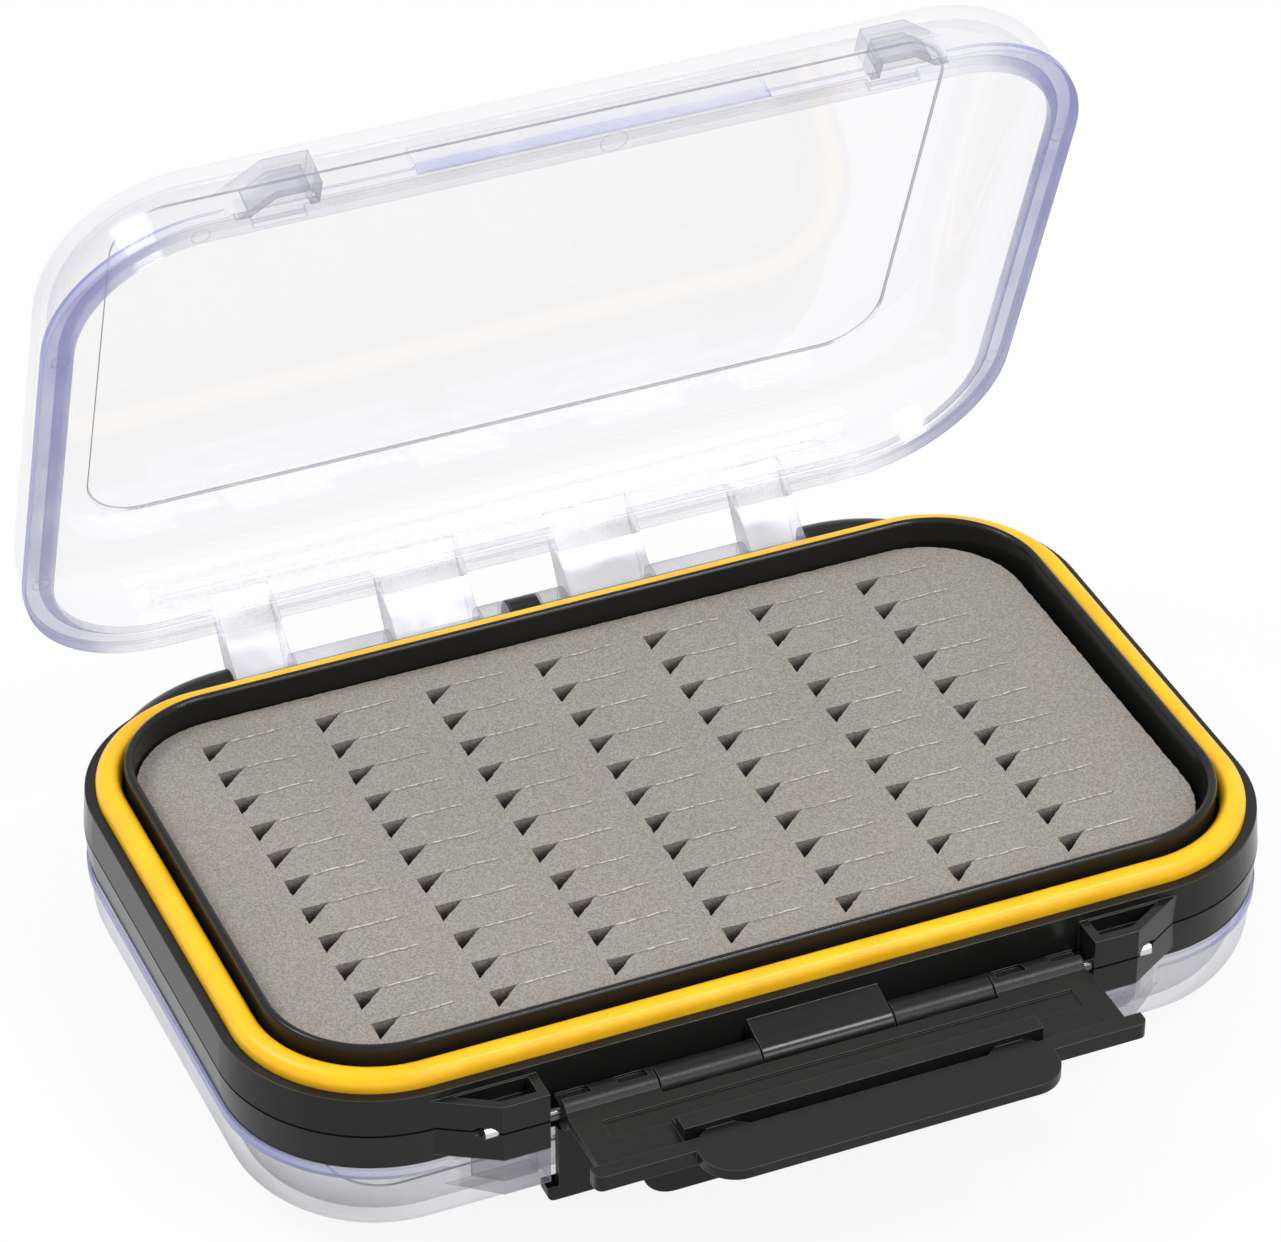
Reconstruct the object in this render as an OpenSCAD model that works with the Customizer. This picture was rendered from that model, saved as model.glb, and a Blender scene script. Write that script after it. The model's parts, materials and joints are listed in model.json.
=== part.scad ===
// Two-sided fly box, drawn open: the upper lid leans back on its pins and the upper latch lies
// forward, while the lower lid is shut and held by its latch.
// X runs along the box, Y from the latches (-) to the hinges (+), Z upward. The origin is the
// centre of the lower lid's flat panel, on which the box stands. Sizes are in millimetres.

/* [Overall] */
// Length over the frame at its parting line
box_length = 154.8; // [140:0.1:190]
// Depth over the frame at its parting line, without hinges and latches
box_depth = 97.6; // [90:0.1:125]
// Height with both lids shut
box_height = 42.6; // [39:0.1:60]
// Corner radius of the frame in plan
corner_radius = 22.6; // [21:0.1:27]

/* [Frame] */
// Height of the outer wall from ledge to ledge
frame_height = 11.6; // [10:0.1:16]
// Slope of the outer wall, from the parting line to each ledge
frame_draft = 0.45; // [0.2:0.05:0.8]
// Flat ledge outside the seal groove
ledge_width = 1.5; // [1:0.1:2.5]
// Width of the seal groove
groove_width = 4.3; // [3.6:0.1:5]
// Depth of the seal groove below the ledge
groove_depth = 2.4; // [1.8:0.1:3]
// Thickness of the rim that stands inside the seal
rim_wall = 1.3; // [1:0.1:2]
// Height of the rim above the ledge
rim_rise = 4.3; // [3:0.1:6]
// Thickness of the plate between the two trays
tray_plate = 1.8; // [1.2:0.1:3]

/* [Seal] */
// Width of the pressed seal
seal_width = 3.7; // [2.8:0.1:4.1]
// Clearance of the seal to the groove floor and to a shut lid
seal_clearance = 0.05; // [0.02:0.01:0.1]

/* [Foam] */
// Thickness of the adhesive film under each foam pad
film_thickness = 0.3; // [0.2:0.05:0.6]
// Clearance between stacked sheets
sheet_gap = 0.04; // [0.02:0.01:0.1]
// Gap from the foam to the rim at the back, front and left
foam_gap = 0.3; // [0.1:0.05:1]
// Gap from the foam to the rim at the right
foam_gap_right = 1.7; // [0.1:0.1:3]
// Columns of hook slots
slot_columns = 7; // [3:1:9]
// Rows of hook slots
slot_rows = 11; // [5:1:14]
// Row spacing of the slots
slot_row_pitch = 6.72; // [5.5:0.01:8]
// Length of one slot, notch and slit together
slot_length = 12.0; // [9:0.1:14]
// Length of the triangular notch
notch_length = 3.9; // [3:0.1:5]
// Width of the triangular notch
notch_width = 3.4; // [2:0.1:4.5]
// Width of the slit
slit_width = 0.24; // [0.1:0.02:0.5]
// Depth of notch and slit
slot_depth = 3.2; // [2:0.1:4]

/* [Lids] */
// Gap between a shut lid and the ledge
lid_gap = 0.2; // [0.1:0.05:0.5]
// Distance of the lid outline inside the frame outline
lid_inset = 0.1; // [0:0.05:0.5]
// Width of the flat flange that meets the seal
flange_width = 4.3; // [3.5:0.1:5]
// Thickness of the flange
flange_thickness = 1.5; // [1:0.1:2.5]
// Distance of the lid wall inside the flange edge
wall_inset = 0.6; // [0.2:0.1:1.2]
// Thickness of the lid wall
lid_wall = 2.0; // [1.5:0.1:2.6]
// Radius of the rounded lid edge
lid_edge_radius = 9.6; // [7:0.1:12]
// Distance of the raised panel inside the lid outline
panel_inset = 14.5; // [12:0.1:18]
// Height of the raised panel
panel_raise = 0.4; // [0.2:0.1:0.8]
// Angle at which the upper lid stands open
lid_open_angle = 70; // [0:1:105]

/* [Hinge] */
// Distance of the hinge axis behind the frame outline
hinge_offset = 6.0; // [4.5:0.1:7]
// Radius of the hinge barrels
barrel_radius = 3.0; // [2.5:0.1:3.5]
// Radius of the hinge pins
hinge_pin_radius = 1.1; // [0.8:0.05:1.4]
// Radial clearance of the pins in their bores
pin_clearance = 0.06; // [0.02:0.01:0.1]
// Outer end of the outermost upper arm, as a distance from the middle
hinge_half_span = 45.7; // [42:0.1:48]
// Gap between neighbouring barrels
barrel_gap = 0.4; // [0.2:0.05:1]
// Height at which the arms end on the lid wall, above the flange
arm_rise = 6.5; // [4:0.1:9]
// Thickness of the arms at that end, beyond the lid wall
arm_toe = 0.5; // [0.2:0.1:1]
// Thickness of the arms at the flange, beyond the lid wall
arm_sole = 1.3; // [0.8:0.1:1.8]
// Height of the webs that join the hinge bars to the frame
bar_web = 4.8; // [3:0.1:5.6]
// Radius at which the hinge bars turn into the corners
bar_radius = 22; // [18:0.5:26]

/* [Latches] */
// Distance of the latch axis in front of the frame outline
latch_offset = 3.4; // [3.2:0.1:5]
// Radius of the latch knuckles
knuckle_radius = 2.6; // [2.2:0.1:3]
// Radius of the latch pins
latch_pin_radius = 0.9; // [0.7:0.05:1.1]
// Half width of the fixed barrel in the middle
fixed_barrel_half = 9.7; // [7:0.1:12]
// Outer end of the lower latch knuckles
inner_knuckle_end = 24.7; // [18:0.1:28]
// Outer end of the upper latch knuckles
outer_knuckle_end = 38.5; // [34:0.1:39.5]
// Gap between neighbouring knuckles
knuckle_gap = 0.25; // [0.15:0.05:0.6]
// Inner and outer faces of a latch plate, as distances from the axis plane
plate_outer = 0.15; // [0.1:0.05:0.4]
plate_inner = 1.4; // [1.2:0.05:2]
// Distance from the axis at which the plates begin
plate_start = 3.2; // [3:0.1:4.5]
// Half width of the latch plates
plate_half = 38.7; // [34:0.1:39.5]
// Reach of the catch lip's far edge from the axis
lip_far = 13.6; // [12.5:0.1:15]
// Clearance between the catch lip and the catch bar
lip_clearance = 0.2; // [0.1:0.05:0.5]
// Height of the catch lip above the axis plane
lip_height = 3.6; // [3.2:0.1:4]
// Half width of the catch lip
lip_half = 26.4; // [20:0.1:30]
// Distance of the stiffening ear's edge from the axis on the upper latch
upper_ear_reach = 17.2; // [14:0.1:18]
// Distance of the stiffening ear's edge from the axis on the lower latch
lower_ear_reach = 15.4; // [14:0.1:18]
// Distance of the finger tab's edge from the axis on the upper latch
upper_tab_reach = 23.2; // [19:0.1:25]
// Distance of the finger tab's edge from the axis on the lower latch
lower_tab_reach = 20.6; // [18:0.1:22]
// Half width of the finger tabs
tab_half = 26.2; // [18:0.1:30]
// Corner radius of the finger tabs
tab_radius = 5; // [2:0.1:5]
// Height of the finger tabs' inner face above the axis plane
tab_low = 1.0; // [0.6:0.1:1.4]
// Height of ears and tabs above the axis plane
ear_height = 2.6; // [2.2:0.1:3]
// Width of the stiffening ears
ear_width = 2.4; // [2:0.1:3]
// Distance by which the ears stand out at the ends of a plate
ear_overhang = 1.7; // [0:0.1:2]
// Inner ends of the rib pads beside the catch lip
pad_inner = 13; // [8:0.1:18]
// Width of the rib pads
pad_width = 1.6; // [1:0.1:2]
// Height of the rib pads above the axis plane
pad_height = 2.1; // [1.7:0.1:2.4]
// Half width of the recessed panel in a plate
recess_half = 34.8; // [28:0.1:36]
// Distance from the axis at which the recessed panel begins
recess_start = 5.4; // [5:0.1:6.5]
// Depth of the recessed panel
recess_depth = 0.35; // [0.1:0.05:0.6]
// Height of the fixed barrel's root on the frame
fairing_height = 7.8; // [6:0.1:9]
// Length of the windows in the upper latch knuckles
window_length = 4.4; // [3:0.1:5]
// Height of the windows
window_height = 2.4; // [1.5:0.1:2.6]
// Solid strap at the inner end of the upper latch knuckles
strap_width = 0.9; // [0.6:0.1:2]
// Length of the notches in the lower latch knuckles
nick_length = 3.9; // [2:0.1:5]
// Height of the notches
nick_height = 1.6; // [1:0.1:2.4]
// Depth of the notches, from the outer face
nick_depth = 1.2; // [0.6:0.1:1.4]
// Distance of the notches from the inner ends of the knuckles
nick_start = 4.6; // [2:0.1:6]

/* [Guards and catch] */
// Height of the catch bar above the lid flange
catch_height = 4.6; // [3.5:0.1:6]
// Half width of the catch bar
catch_half = 25.9; // [18:0.1:29]
// Distance of the catch bar's face in front of the frame outline
catch_reach = 0.4; // [0.2:0.1:1]
// Inner end of the guard horns, as a distance from the middle
horn_inner = 40.4; // [39.5:0.1:42]
// Bend of the guard horns
horn_bend = 47.1; // [45:0.1:50]
// Outer end of the frame horns on the frame outline
horn_outer = 54.9; // [52:0.1:58]
// Outer end of the lid horns on the frame outline
lid_horn_outer = 52.8; // [51:0.1:56]
// Distance of the horn faces in front of the frame outline
horn_reach = 4.7; // [4.5:0.1:6]
// Half height of the frame horns
horn_half_height = 4.6; // [4:0.1:5.4]
// Wall of the horns
horn_wall = 1.3; // [1:0.1:2]
// Thickness of the web between the pockets of the frame horns
horn_web = 4.4; // [3:0.1:6]
// Height of the lid horns
lid_horn_height = 5.8; // [4.5:0.1:7]
// Thickness of the top of the lid horns
lid_horn_top = 1.1; // [0.8:0.1:2]
// Gap between the lid horns and the frame wall
horn_gap = 0.4; // [0.3:0.05:0.8]
// Inner end of the slots in the lid flange behind the horns
vent_start = 41.4; // [38:0.1:44]
// Length of those slots
vent_length = 7.6; // [4:0.1:9]
// Width of those slots
vent_width = 0.9; // [0.5:0.1:1.2]
// Distance of those slots from the frame outline
vent_inset = 2.7; // [2.5:0.1:3]

/* [Hidden] */
$fn = 64;
mid = box_height / 2;
hx = box_length / 2;
hy = box_depth / 2;
share = box_length / 154.8;             // stations along the box follow its length
lap = 1;                                // depth to which joined shapes reach into each other
skin = 0.05;                            // step that keeps tangent faces apart
pin_split = 0.6;                        // half of the gap between the two pins of an axis
ledge = frame_height / 2;
groove_out = frame_draft + ledge_width; // distances inward from the frame outline
groove_in = groove_out + groove_width;
rim_in = groove_in + rim_wall;
rim_top = ledge + rim_rise;
groove_floor = ledge - groove_depth;
flange = ledge + lid_gap;
lid_top = mid - panel_raise;
seal_mid = groove_out + groove_width / 2 - 0.2;
seal_low = groove_floor + seal_clearance;
seal_high = flange - seal_clearance;
film_low = tray_plate / 2 + sheet_gap;
foam_low = film_low + film_thickness + sheet_gap;
foam_left = -(hx - rim_in) + foam_gap;
foam_right = (hx - rim_in) - foam_gap_right;
foam_half_y = hy - rim_in - foam_gap;
foam_mid = (foam_left + foam_right) / 2;
foam_half_x = (foam_right - foam_left) / 2;
foam_radius = corner_radius - rim_in - foam_gap;
slot_column_pitch = 17.14 * share;
slot_x0 = -(slot_columns - 1) / 2 * slot_column_pitch - slot_length / 2;
slot_y0 = -(slot_rows - 1) / 2 * slot_row_pitch + notch_width / 2;
hinge_y = hy + hinge_offset;
latch_y = -(hy + latch_offset);
upper_arms = [[7.3, 20.6], [36.7, hinge_half_span]] * share;
lower_arms = [[2.7, 7.3 - barrel_gap], [20.6 + barrel_gap, 36.7 - barrel_gap]] * share;
block_half = 2.7 * share - barrel_gap;
bar_inner = hinge_half_span * share + barrel_gap;
bar_turn = max(bar_inner + 1, hx - corner_radius - 7.8); // where the hinge bars start to turn
bar_centre = [bar_turn, hinge_y - bar_radius];
corner = [hx - corner_radius, hy - corner_radius];
ring_middle = corner_radius - rim_in / 2;
bar_to_corner = corner - bar_centre;
bar_bend = atan2(bar_to_corner.x, bar_to_corner.y)      // ends the bend inside the ring
    - acos((pow(bar_radius, 2) + pow(norm(bar_to_corner), 2) - pow(ring_middle, 2))
        / (2 * bar_radius * norm(bar_to_corner)));
pin_bore = hinge_pin_radius + pin_clearance;
latch_bore = latch_pin_radius + pin_clearance;
pin_end = bar_turn + 8;
latch_pin_end = horn_bend * share + 2.4;
catch_top = flange + catch_height;
lip_near = catch_top + lip_clearance;

// ---- shared shapes ----

module sector(r) {
    intersection() {
        circle(r);
        square(r);
    }
}

// Sweeps a profile (distance from the corner centre, height) round a rounded rectangle.
module run(half_x, half_y, r) {
    for (s = [0, 1]) {
        mirror([s, 0, 0]) translate([half_x - r, half_y - r, 0]) rotate([90, 0, 0])
            linear_extrude(2 * (half_y - r)) children();
        mirror([0, s, 0]) translate([-(half_x - r), half_y - r, 0]) rotate([0, 0, 90])
            rotate([90, 0, 0]) linear_extrude(2 * (half_x - r)) children();
        for (t = [0, 1]) mirror([s, 0, 0]) mirror([0, t, 0])
            translate([half_x - r, half_y - r, 0]) rotate_extrude(angle = 90) children();
    }
}

// A plate with rounded corners.
module slab(half_x, half_y, r, low, high) {
    translate([0, 0, low]) linear_extrude(high - low) {
        square([2 * half_x, 2 * (half_y - r)], center = true);
        square([2 * (half_x - r), 2 * half_y], center = true);
        for (sx = [-1, 1], sy = [-1, 1]) translate([sx * (half_x - r), sy * (half_y - r)])
            circle(r);
    }
}

// A domed block: the profile runs from the corner centre outward, and a core fills the middle.
module dome(inset, low, top, edge) {
    r = corner_radius - inset;
    cx = hx - corner_radius;
    cy = hy - corner_radius;
    run(hx - inset, hy - inset, r) {
        translate([0, low]) square([r, top - edge - low]);
        translate([0, low]) square([r - edge, top - low]);
        translate([r - edge, top - edge]) sector(edge);
    }
    translate([-cx, -cy, low]) cube([2 * cx, 2 * cy, top - low]);
}

module along_x(from, to, r) {
    translate([from, 0, 0]) rotate([0, 90, 0]) cylinder(h = to - from, r = r);
}

module both_sides() {
    children();
    mirror([1, 0, 0]) children();
}

// ---- frame ----

// Half of the ring section, above the parting line.
module ring_section() {
    r = corner_radius;
    polygon([[r, 0], [r - frame_draft, ledge], [r - groove_out, ledge],
        [r - groove_out, groove_floor], [r - groove_in, groove_floor],
        [r - groove_in, rim_top - rim_wall / 2], [r - rim_in, rim_top - rim_wall / 2],
        [r - rim_in, 0]]);
    translate([r - rim_in + rim_wall / 2, rim_top - rim_wall / 2]) circle(rim_wall / 2);
}

// Plan of a guard horn, drawn inside itself by the thickness of a wall.
module horn_plan(outer, face, back, wall = 0) {
    inner = horn_inner * share + wall;
    bend = horn_bend * share;
    slope = (outer - bend) / (face - hy);
    shift = wall * sqrt(1 + slope * slope);
    polygon([[inner, -back], [inner, wall - face], [bend + wall * slope - shift, wall - face],
        [outer + (hy - back) * slope - shift, -back]]);
}

module guard_horn() {
    face = hy + horn_reach;
    difference() {
        translate([0, 0, -horn_half_height]) linear_extrude(2 * horn_half_height)
            horn_plan(horn_outer * share, face, hy - lap);
        for (s = [0, 1]) mirror([0, 0, s]) translate([0, 0, horn_web / 2])
            linear_extrude(horn_half_height) horn_plan(horn_outer * share, face, hy, horn_wall);
    }
}

// Bar that carries the outer end of a hinge pin and turns into the back corner.
module corner_bar() {
    arc = [for (a = [0, 24, 48]) bar_centre + bar_radius * [sin(a), cos(a)]];
    translate([0, hinge_y, 0]) along_x(bar_inner, bar_turn, barrel_radius);
    translate(bar_centre) mirror([1, -1, 0]) rotate_extrude(angle = bar_bend)
        translate([bar_radius, 0]) circle(barrel_radius);
    translate([0, 0, -bar_web / 2]) linear_extrude(bar_web)
        polygon(concat([[bar_inner, hy - lap], [bar_inner, hinge_y]], arc,
            [corner + ring_middle * [sin(20), cos(20)]]));
}

module frame() {
    color([0.09, 0.09, 0.1]) translate([0, 0, mid]) difference() {
        union() {
            run(hx, hy, corner_radius) {
                ring_section();
                mirror([0, 1]) ring_section();
            }
            slab(hx - groove_in, hy - groove_in, corner_radius - groove_in,
                -tray_plate / 2, tray_plate / 2);
            both_sides() {
                guard_horn();
                corner_bar();
            }
            translate([0, hinge_y, 0]) along_x(-block_half, block_half, barrel_radius);
            translate([-block_half, hy - lap, -bar_web / 2])
                cube([2 * block_half, hinge_offset + lap, bar_web]);
            translate([0, latch_y, 0])
                along_x(-fixed_barrel_half * share, fixed_barrel_half * share, knuckle_radius);
            translate([-fixed_barrel_half * share, 0, 0]) rotate([90, 0, 90])
                linear_extrude(2 * fixed_barrel_half * share)
                    polygon([[lap - hy, fairing_height / 2], [latch_y, knuckle_radius - skin],
                        [latch_y, skin - knuckle_radius], [lap - hy, -fairing_height / 2]]);
        }
        translate([0, hinge_y, 0]) along_x(-hx, hx, pin_bore);
        translate([0, latch_y, 0]) along_x(-hx, hx, latch_bore);
    }
}

// ---- seals, foam and film ----

module seal() {
    r = corner_radius - seal_mid;
    h = seal_high - seal_low;
    run(hx - seal_mid, hy - seal_mid, r) {
        translate([r - (seal_width - h) / 2, seal_low]) square([seal_width - h, h]);
        for (s = [-1, 1]) translate([r + s * (seal_width - h) / 2, seal_low + h / 2]) circle(h / 2);
    }
}

module upper_seal() {
    color([1, 0.78, 0.1]) translate([0, 0, mid]) seal();
}

module lower_seal() {
    color([1, 0.78, 0.1]) translate([0, 0, mid]) mirror([0, 0, 1]) seal();
}

// One hook slot: a triangular notch that runs out into a slit.
module slot() {
    polygon([[0, slit_width / 2], [0, -notch_width], [notch_length, -slit_width / 2],
        [slot_length, -slit_width / 2], [slot_length, slit_width / 2]]);
}

module foam() {
    difference() {
        translate([foam_mid, 0, 0]) slab(foam_half_x, foam_half_y, foam_radius, foam_low, ledge);
        for (i = [0 : slot_columns - 1], j = [0 : slot_rows - 1])
            translate([slot_x0 + i * slot_column_pitch, slot_y0 + j * slot_row_pitch,
                ledge - slot_depth]) linear_extrude(slot_depth + 1) slot();
    }
}

module upper_foam() {
    color([0.63, 0.61, 0.57]) translate([0, 0, mid]) foam();
}

module lower_foam() {
    color([0.63, 0.61, 0.57]) translate([0, 0, mid]) mirror([0, 0, 1]) foam();
}

module film() {
    translate([foam_mid, 0, 0]) slab(foam_half_x - 1, foam_half_y - 1, foam_radius - 1,
        film_low, film_low + film_thickness);
}

module upper_foam_film() {
    color([0.85, 0.84, 0.8]) translate([0, 0, mid]) film();
}

module lower_foam_film() {
    color([0.85, 0.84, 0.8]) translate([0, 0, mid]) mirror([0, 0, 1]) film();
}

// ---- lids, drawn shut above the parting line ----

module hinge_arm(from, to) {
    wall = hinge_offset + lid_inset + wall_inset;
    translate([from, hinge_y, 0]) rotate([90, 0, 90]) linear_extrude(to - from) {
        circle(barrel_radius);
        polygon([[-barrel_radius, 0], [arm_sole - wall, flange], [-wall - lid_wall / 2, flange],
            [-wall - lid_wall / 2, flange + arm_rise], [arm_toe - wall, flange + arm_rise],
            barrel_radius * [cos(16), sin(16)]]);
    }
}

module lid_horn() {
    low = horn_half_height + lid_gap;
    face = hy + horn_reach - lid_inset;
    difference() {
        translate([0, 0, low]) linear_extrude(lid_horn_height)
            horn_plan(lid_horn_outer * share, face, hy - lap);
        translate([0, 0, low - lap]) linear_extrude(lap + lid_horn_height - lid_horn_top)
            horn_plan(lid_horn_outer * share, face, hy + horn_gap, horn_wall);
        translate([0, -hy - horn_gap, 0]) cube([hx, hy, flange]);
    }
}

module lid(arms) {
    difference() {
        union() {
            difference() {
                union() {
                    dome(lid_inset + wall_inset, flange, lid_top, lid_edge_radius);
                    slab(hx - panel_inset, hy - panel_inset, corner_radius - panel_inset,
                        lid_top - lap, mid);
                }
                dome(lid_inset + wall_inset + lid_wall, flange - lap, lid_top - lid_wall,
                    lid_edge_radius - lid_wall);
            }
            run(hx - lid_inset, hy - lid_inset, corner_radius - lid_inset)
                translate([corner_radius - lid_inset - flange_width, flange])
                    square([flange_width, flange_thickness]);
            translate([-catch_half * share, -(hy + catch_reach), flange])
                cube([2 * catch_half * share, lid_wall, catch_height]);
            both_sides() {
                lid_horn();
                for (a = arms) hinge_arm(a[0], a[1]);
            }
        }
        both_sides() translate([vent_start * share, vent_inset - hy, flange - lap])
            cube([vent_length, vent_width, flange_thickness + 2 * lap]);
        translate([0, hinge_y, 0]) along_x(-hx, hx, pin_bore);
    }
}

module upper_lid() {
    color([0.86, 0.88, 0.95, 0.35]) translate([0, hinge_y, mid]) rotate([-lid_open_angle, 0, 0])
        translate([0, -hinge_y, 0]) lid(upper_arms);
}

module lower_lid() {
    color([0.86, 0.88, 0.95, 0.35]) translate([0, 0, mid]) mirror([0, 0, 1]) lid(lower_arms);
}

// ---- latches, drawn shut above the axis: Y is the distance toward the box, Z from the axis ----

module panel_outline(half, low, high, r) {
    translate([-half, low]) square([2 * half, high - low - r]);
    translate([-(half - r), low]) square([2 * (half - r), high - low]);
    for (s = [-1, 1]) translate([s * (half - r), high - r]) circle(r);
}

module plate(from, to) {
    translate([0, to, 0]) rotate([90, 0, 0]) linear_extrude(to - from) children();
}

module latch(knuckle_from, knuckle_to, ear_reach, tab_reach) {
    difference() {
        union() {
            plate(plate_outer, plate_inner)
                translate([-plate_half * share, plate_start])
                    square([2 * plate_half * share, ear_reach - plate_start - lap]);
            plate(plate_outer, ear_height) panel_outline(plate_half * share + ear_overhang,
                ear_reach - ear_width, ear_reach, ear_width / 2 - skin);
            plate(tab_low, ear_height) panel_outline(tab_half * share, ear_reach - lap,
                tab_reach, tab_radius);
            plate(plate_outer, lip_height) translate([-lip_half * share, lip_near])
                square([2 * lip_half * share, lip_far - lip_near]);
            both_sides() {
                along_x(knuckle_from, knuckle_to, knuckle_radius);
                translate([knuckle_from, plate_outer, 0])
                    cube([knuckle_to - knuckle_from, plate_inner - plate_outer, plate_start + lap]);
                plate(plate_outer, pad_height) translate([pad_inner * share, lip_near - pad_width])
                    square([(lip_half - pad_inner) * share, pad_width + lap]);
            }
        }
        plate(plate_inner - recess_depth, plate_inner + lap)
            translate([-recess_half * share, recess_start]) square([2 * recess_half * share,
                lip_near - pad_width - recess_start]);
        along_x(-hx, hx, latch_bore);
    }
}

module upper_latch() {
    from = inner_knuckle_end * share + knuckle_gap;
    to = outer_knuckle_end * share;
    color([0.1, 0.1, 0.11]) translate([0, latch_y, mid]) rotate([90, 0, 0]) difference() {
        latch(from, to, upper_ear_reach, upper_tab_reach);
        // Windows along the top of the knuckles
        both_sides() for (x = [from + strap_width, to + skin - window_length])
            translate([x, knuckle_radius / 2, -0.8 * window_height])
                cube([window_length, knuckle_radius, window_height]);
    }
}

module lower_latch() {
    from = fixed_barrel_half * share + knuckle_gap;
    to = inner_knuckle_end * share;
    color([0.1, 0.1, 0.11]) translate([0, latch_y, mid]) mirror([0, 0, 1]) difference() {
        latch(from, to, lower_ear_reach, lower_tab_reach);
        // Notch on the outer face of the knuckles
        both_sides() translate([from + nick_start, -knuckle_radius - lap, -nick_height / 2])
            cube([nick_length, nick_depth + lap, nick_height]);
    }
}

// ---- pins ----

module left_hinge_pin() {
    color([0.8, 0.8, 0.82]) translate([0, hinge_y, mid]) along_x(-pin_end, -pin_split, hinge_pin_radius);
}

module right_hinge_pin() {
    color([0.8, 0.8, 0.82]) translate([0, hinge_y, mid]) along_x(pin_split, pin_end, hinge_pin_radius);
}

module left_latch_pin() {
    color([0.8, 0.8, 0.82]) translate([0, latch_y, mid])
        along_x(-latch_pin_end, -pin_split, latch_pin_radius);
}

module right_latch_pin() {
    color([0.8, 0.8, 0.82]) translate([0, latch_y, mid])
        along_x(pin_split, latch_pin_end, latch_pin_radius);
}

frame();
upper_lid();
lower_lid();
upper_seal();
lower_seal();
upper_foam();
lower_foam();
upper_foam_film();
lower_foam_film();
upper_latch();
lower_latch();
left_hinge_pin();
right_hinge_pin();
left_latch_pin();
right_latch_pin();
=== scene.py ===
"""Looks of a two-sided fly box: clear lids, black frame and latches, yellow seals and slit foam."""

import json
import logging
import math
from dataclasses import dataclass, field
from enum import Enum
from typing import Any, Sequence

import bmesh
import bpy
from mathutils import Matrix, Quaternion, Vector

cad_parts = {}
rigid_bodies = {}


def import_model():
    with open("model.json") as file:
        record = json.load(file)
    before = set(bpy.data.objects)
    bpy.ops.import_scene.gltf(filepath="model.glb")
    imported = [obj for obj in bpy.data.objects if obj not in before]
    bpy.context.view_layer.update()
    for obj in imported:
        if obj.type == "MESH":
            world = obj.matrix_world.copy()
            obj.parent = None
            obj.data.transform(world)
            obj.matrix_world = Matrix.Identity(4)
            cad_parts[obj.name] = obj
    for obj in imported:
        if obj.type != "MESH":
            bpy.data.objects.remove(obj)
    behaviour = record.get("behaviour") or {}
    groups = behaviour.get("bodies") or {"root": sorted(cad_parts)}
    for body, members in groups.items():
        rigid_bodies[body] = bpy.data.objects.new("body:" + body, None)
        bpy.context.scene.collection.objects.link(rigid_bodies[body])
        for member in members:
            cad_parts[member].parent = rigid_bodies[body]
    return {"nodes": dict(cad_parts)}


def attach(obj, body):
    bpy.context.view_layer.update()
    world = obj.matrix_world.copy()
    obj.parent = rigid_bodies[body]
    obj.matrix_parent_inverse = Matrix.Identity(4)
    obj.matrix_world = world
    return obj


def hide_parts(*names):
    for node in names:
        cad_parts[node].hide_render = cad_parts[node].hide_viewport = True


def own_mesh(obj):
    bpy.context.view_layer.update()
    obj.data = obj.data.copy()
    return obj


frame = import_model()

LOG = logging.getLogger("fly_box")
MM = 0.001

Colour = tuple[float, float, float]
Point = tuple[float, float, float]


# ---- node trees as Python expressions ----


class Signal:
    """An output socket; arithmetic on it adds Math nodes to its tree."""

    def __init__(self, book: "NodeBook", socket: bpy.types.NodeSocket) -> None:
        """Keeps the socket and the book that its tree is written with."""
        self.book = book
        self.socket = socket

    def math(self, operation: str, *others: Any, clamp: bool = False) -> "Signal":
        """Adds a Math node with this signal as its first value.

        Args:
            operation: Name of the Math node's operation.
            others: The node's further values, signals or numbers.
            clamp: Whether the result is held between 0 and 1.

        Returns:
            The node's result.
        """
        values = dict(enumerate((self, *others)))
        return self.book.node("ShaderNodeMath", {"operation": operation, "use_clamp": clamp}, values)

    def __add__(self, other: Any) -> "Signal":
        """Sum."""
        return self.math("ADD", other)

    __radd__ = __add__

    def __mul__(self, other: Any) -> "Signal":
        """Product."""
        return self.math("MULTIPLY", other)

    __rmul__ = __mul__

    def __sub__(self, other: Any) -> "Signal":
        """Difference."""
        return self.math("SUBTRACT", other)

    def __rsub__(self, other: float) -> "Signal":
        """Difference from a number."""
        return self.book.node("ShaderNodeMath", {"operation": "SUBTRACT"}, {0: other, 1: self})

    def __abs__(self) -> "Signal":
        """Size without sign."""
        return self.math("ABSOLUTE")

    def wrap(self, period: float) -> "Signal":
        """Position within a repeat of the given length."""
        return self.math("FLOORED_MODULO", period)

    def fade(self, low: float, high: float) -> "Signal":
        """Smooth step from 0 at low to 1 at high; falls instead where low is the larger."""
        if low > high:
            return 1 - self.fade(high, low)
        return self.book.node("ShaderNodeMapRange", {"interpolation_type": "SMOOTHSTEP"},
                              {"Value": self, "From Min": low, "From Max": high})

    def between(self, low: float, high: float, soft: float) -> "Signal":
        """1 between two bounds and 0 outside, with soft ends."""
        return self.fade(low - soft, low + soft) * self.fade(high + soft, high - soft)


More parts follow.
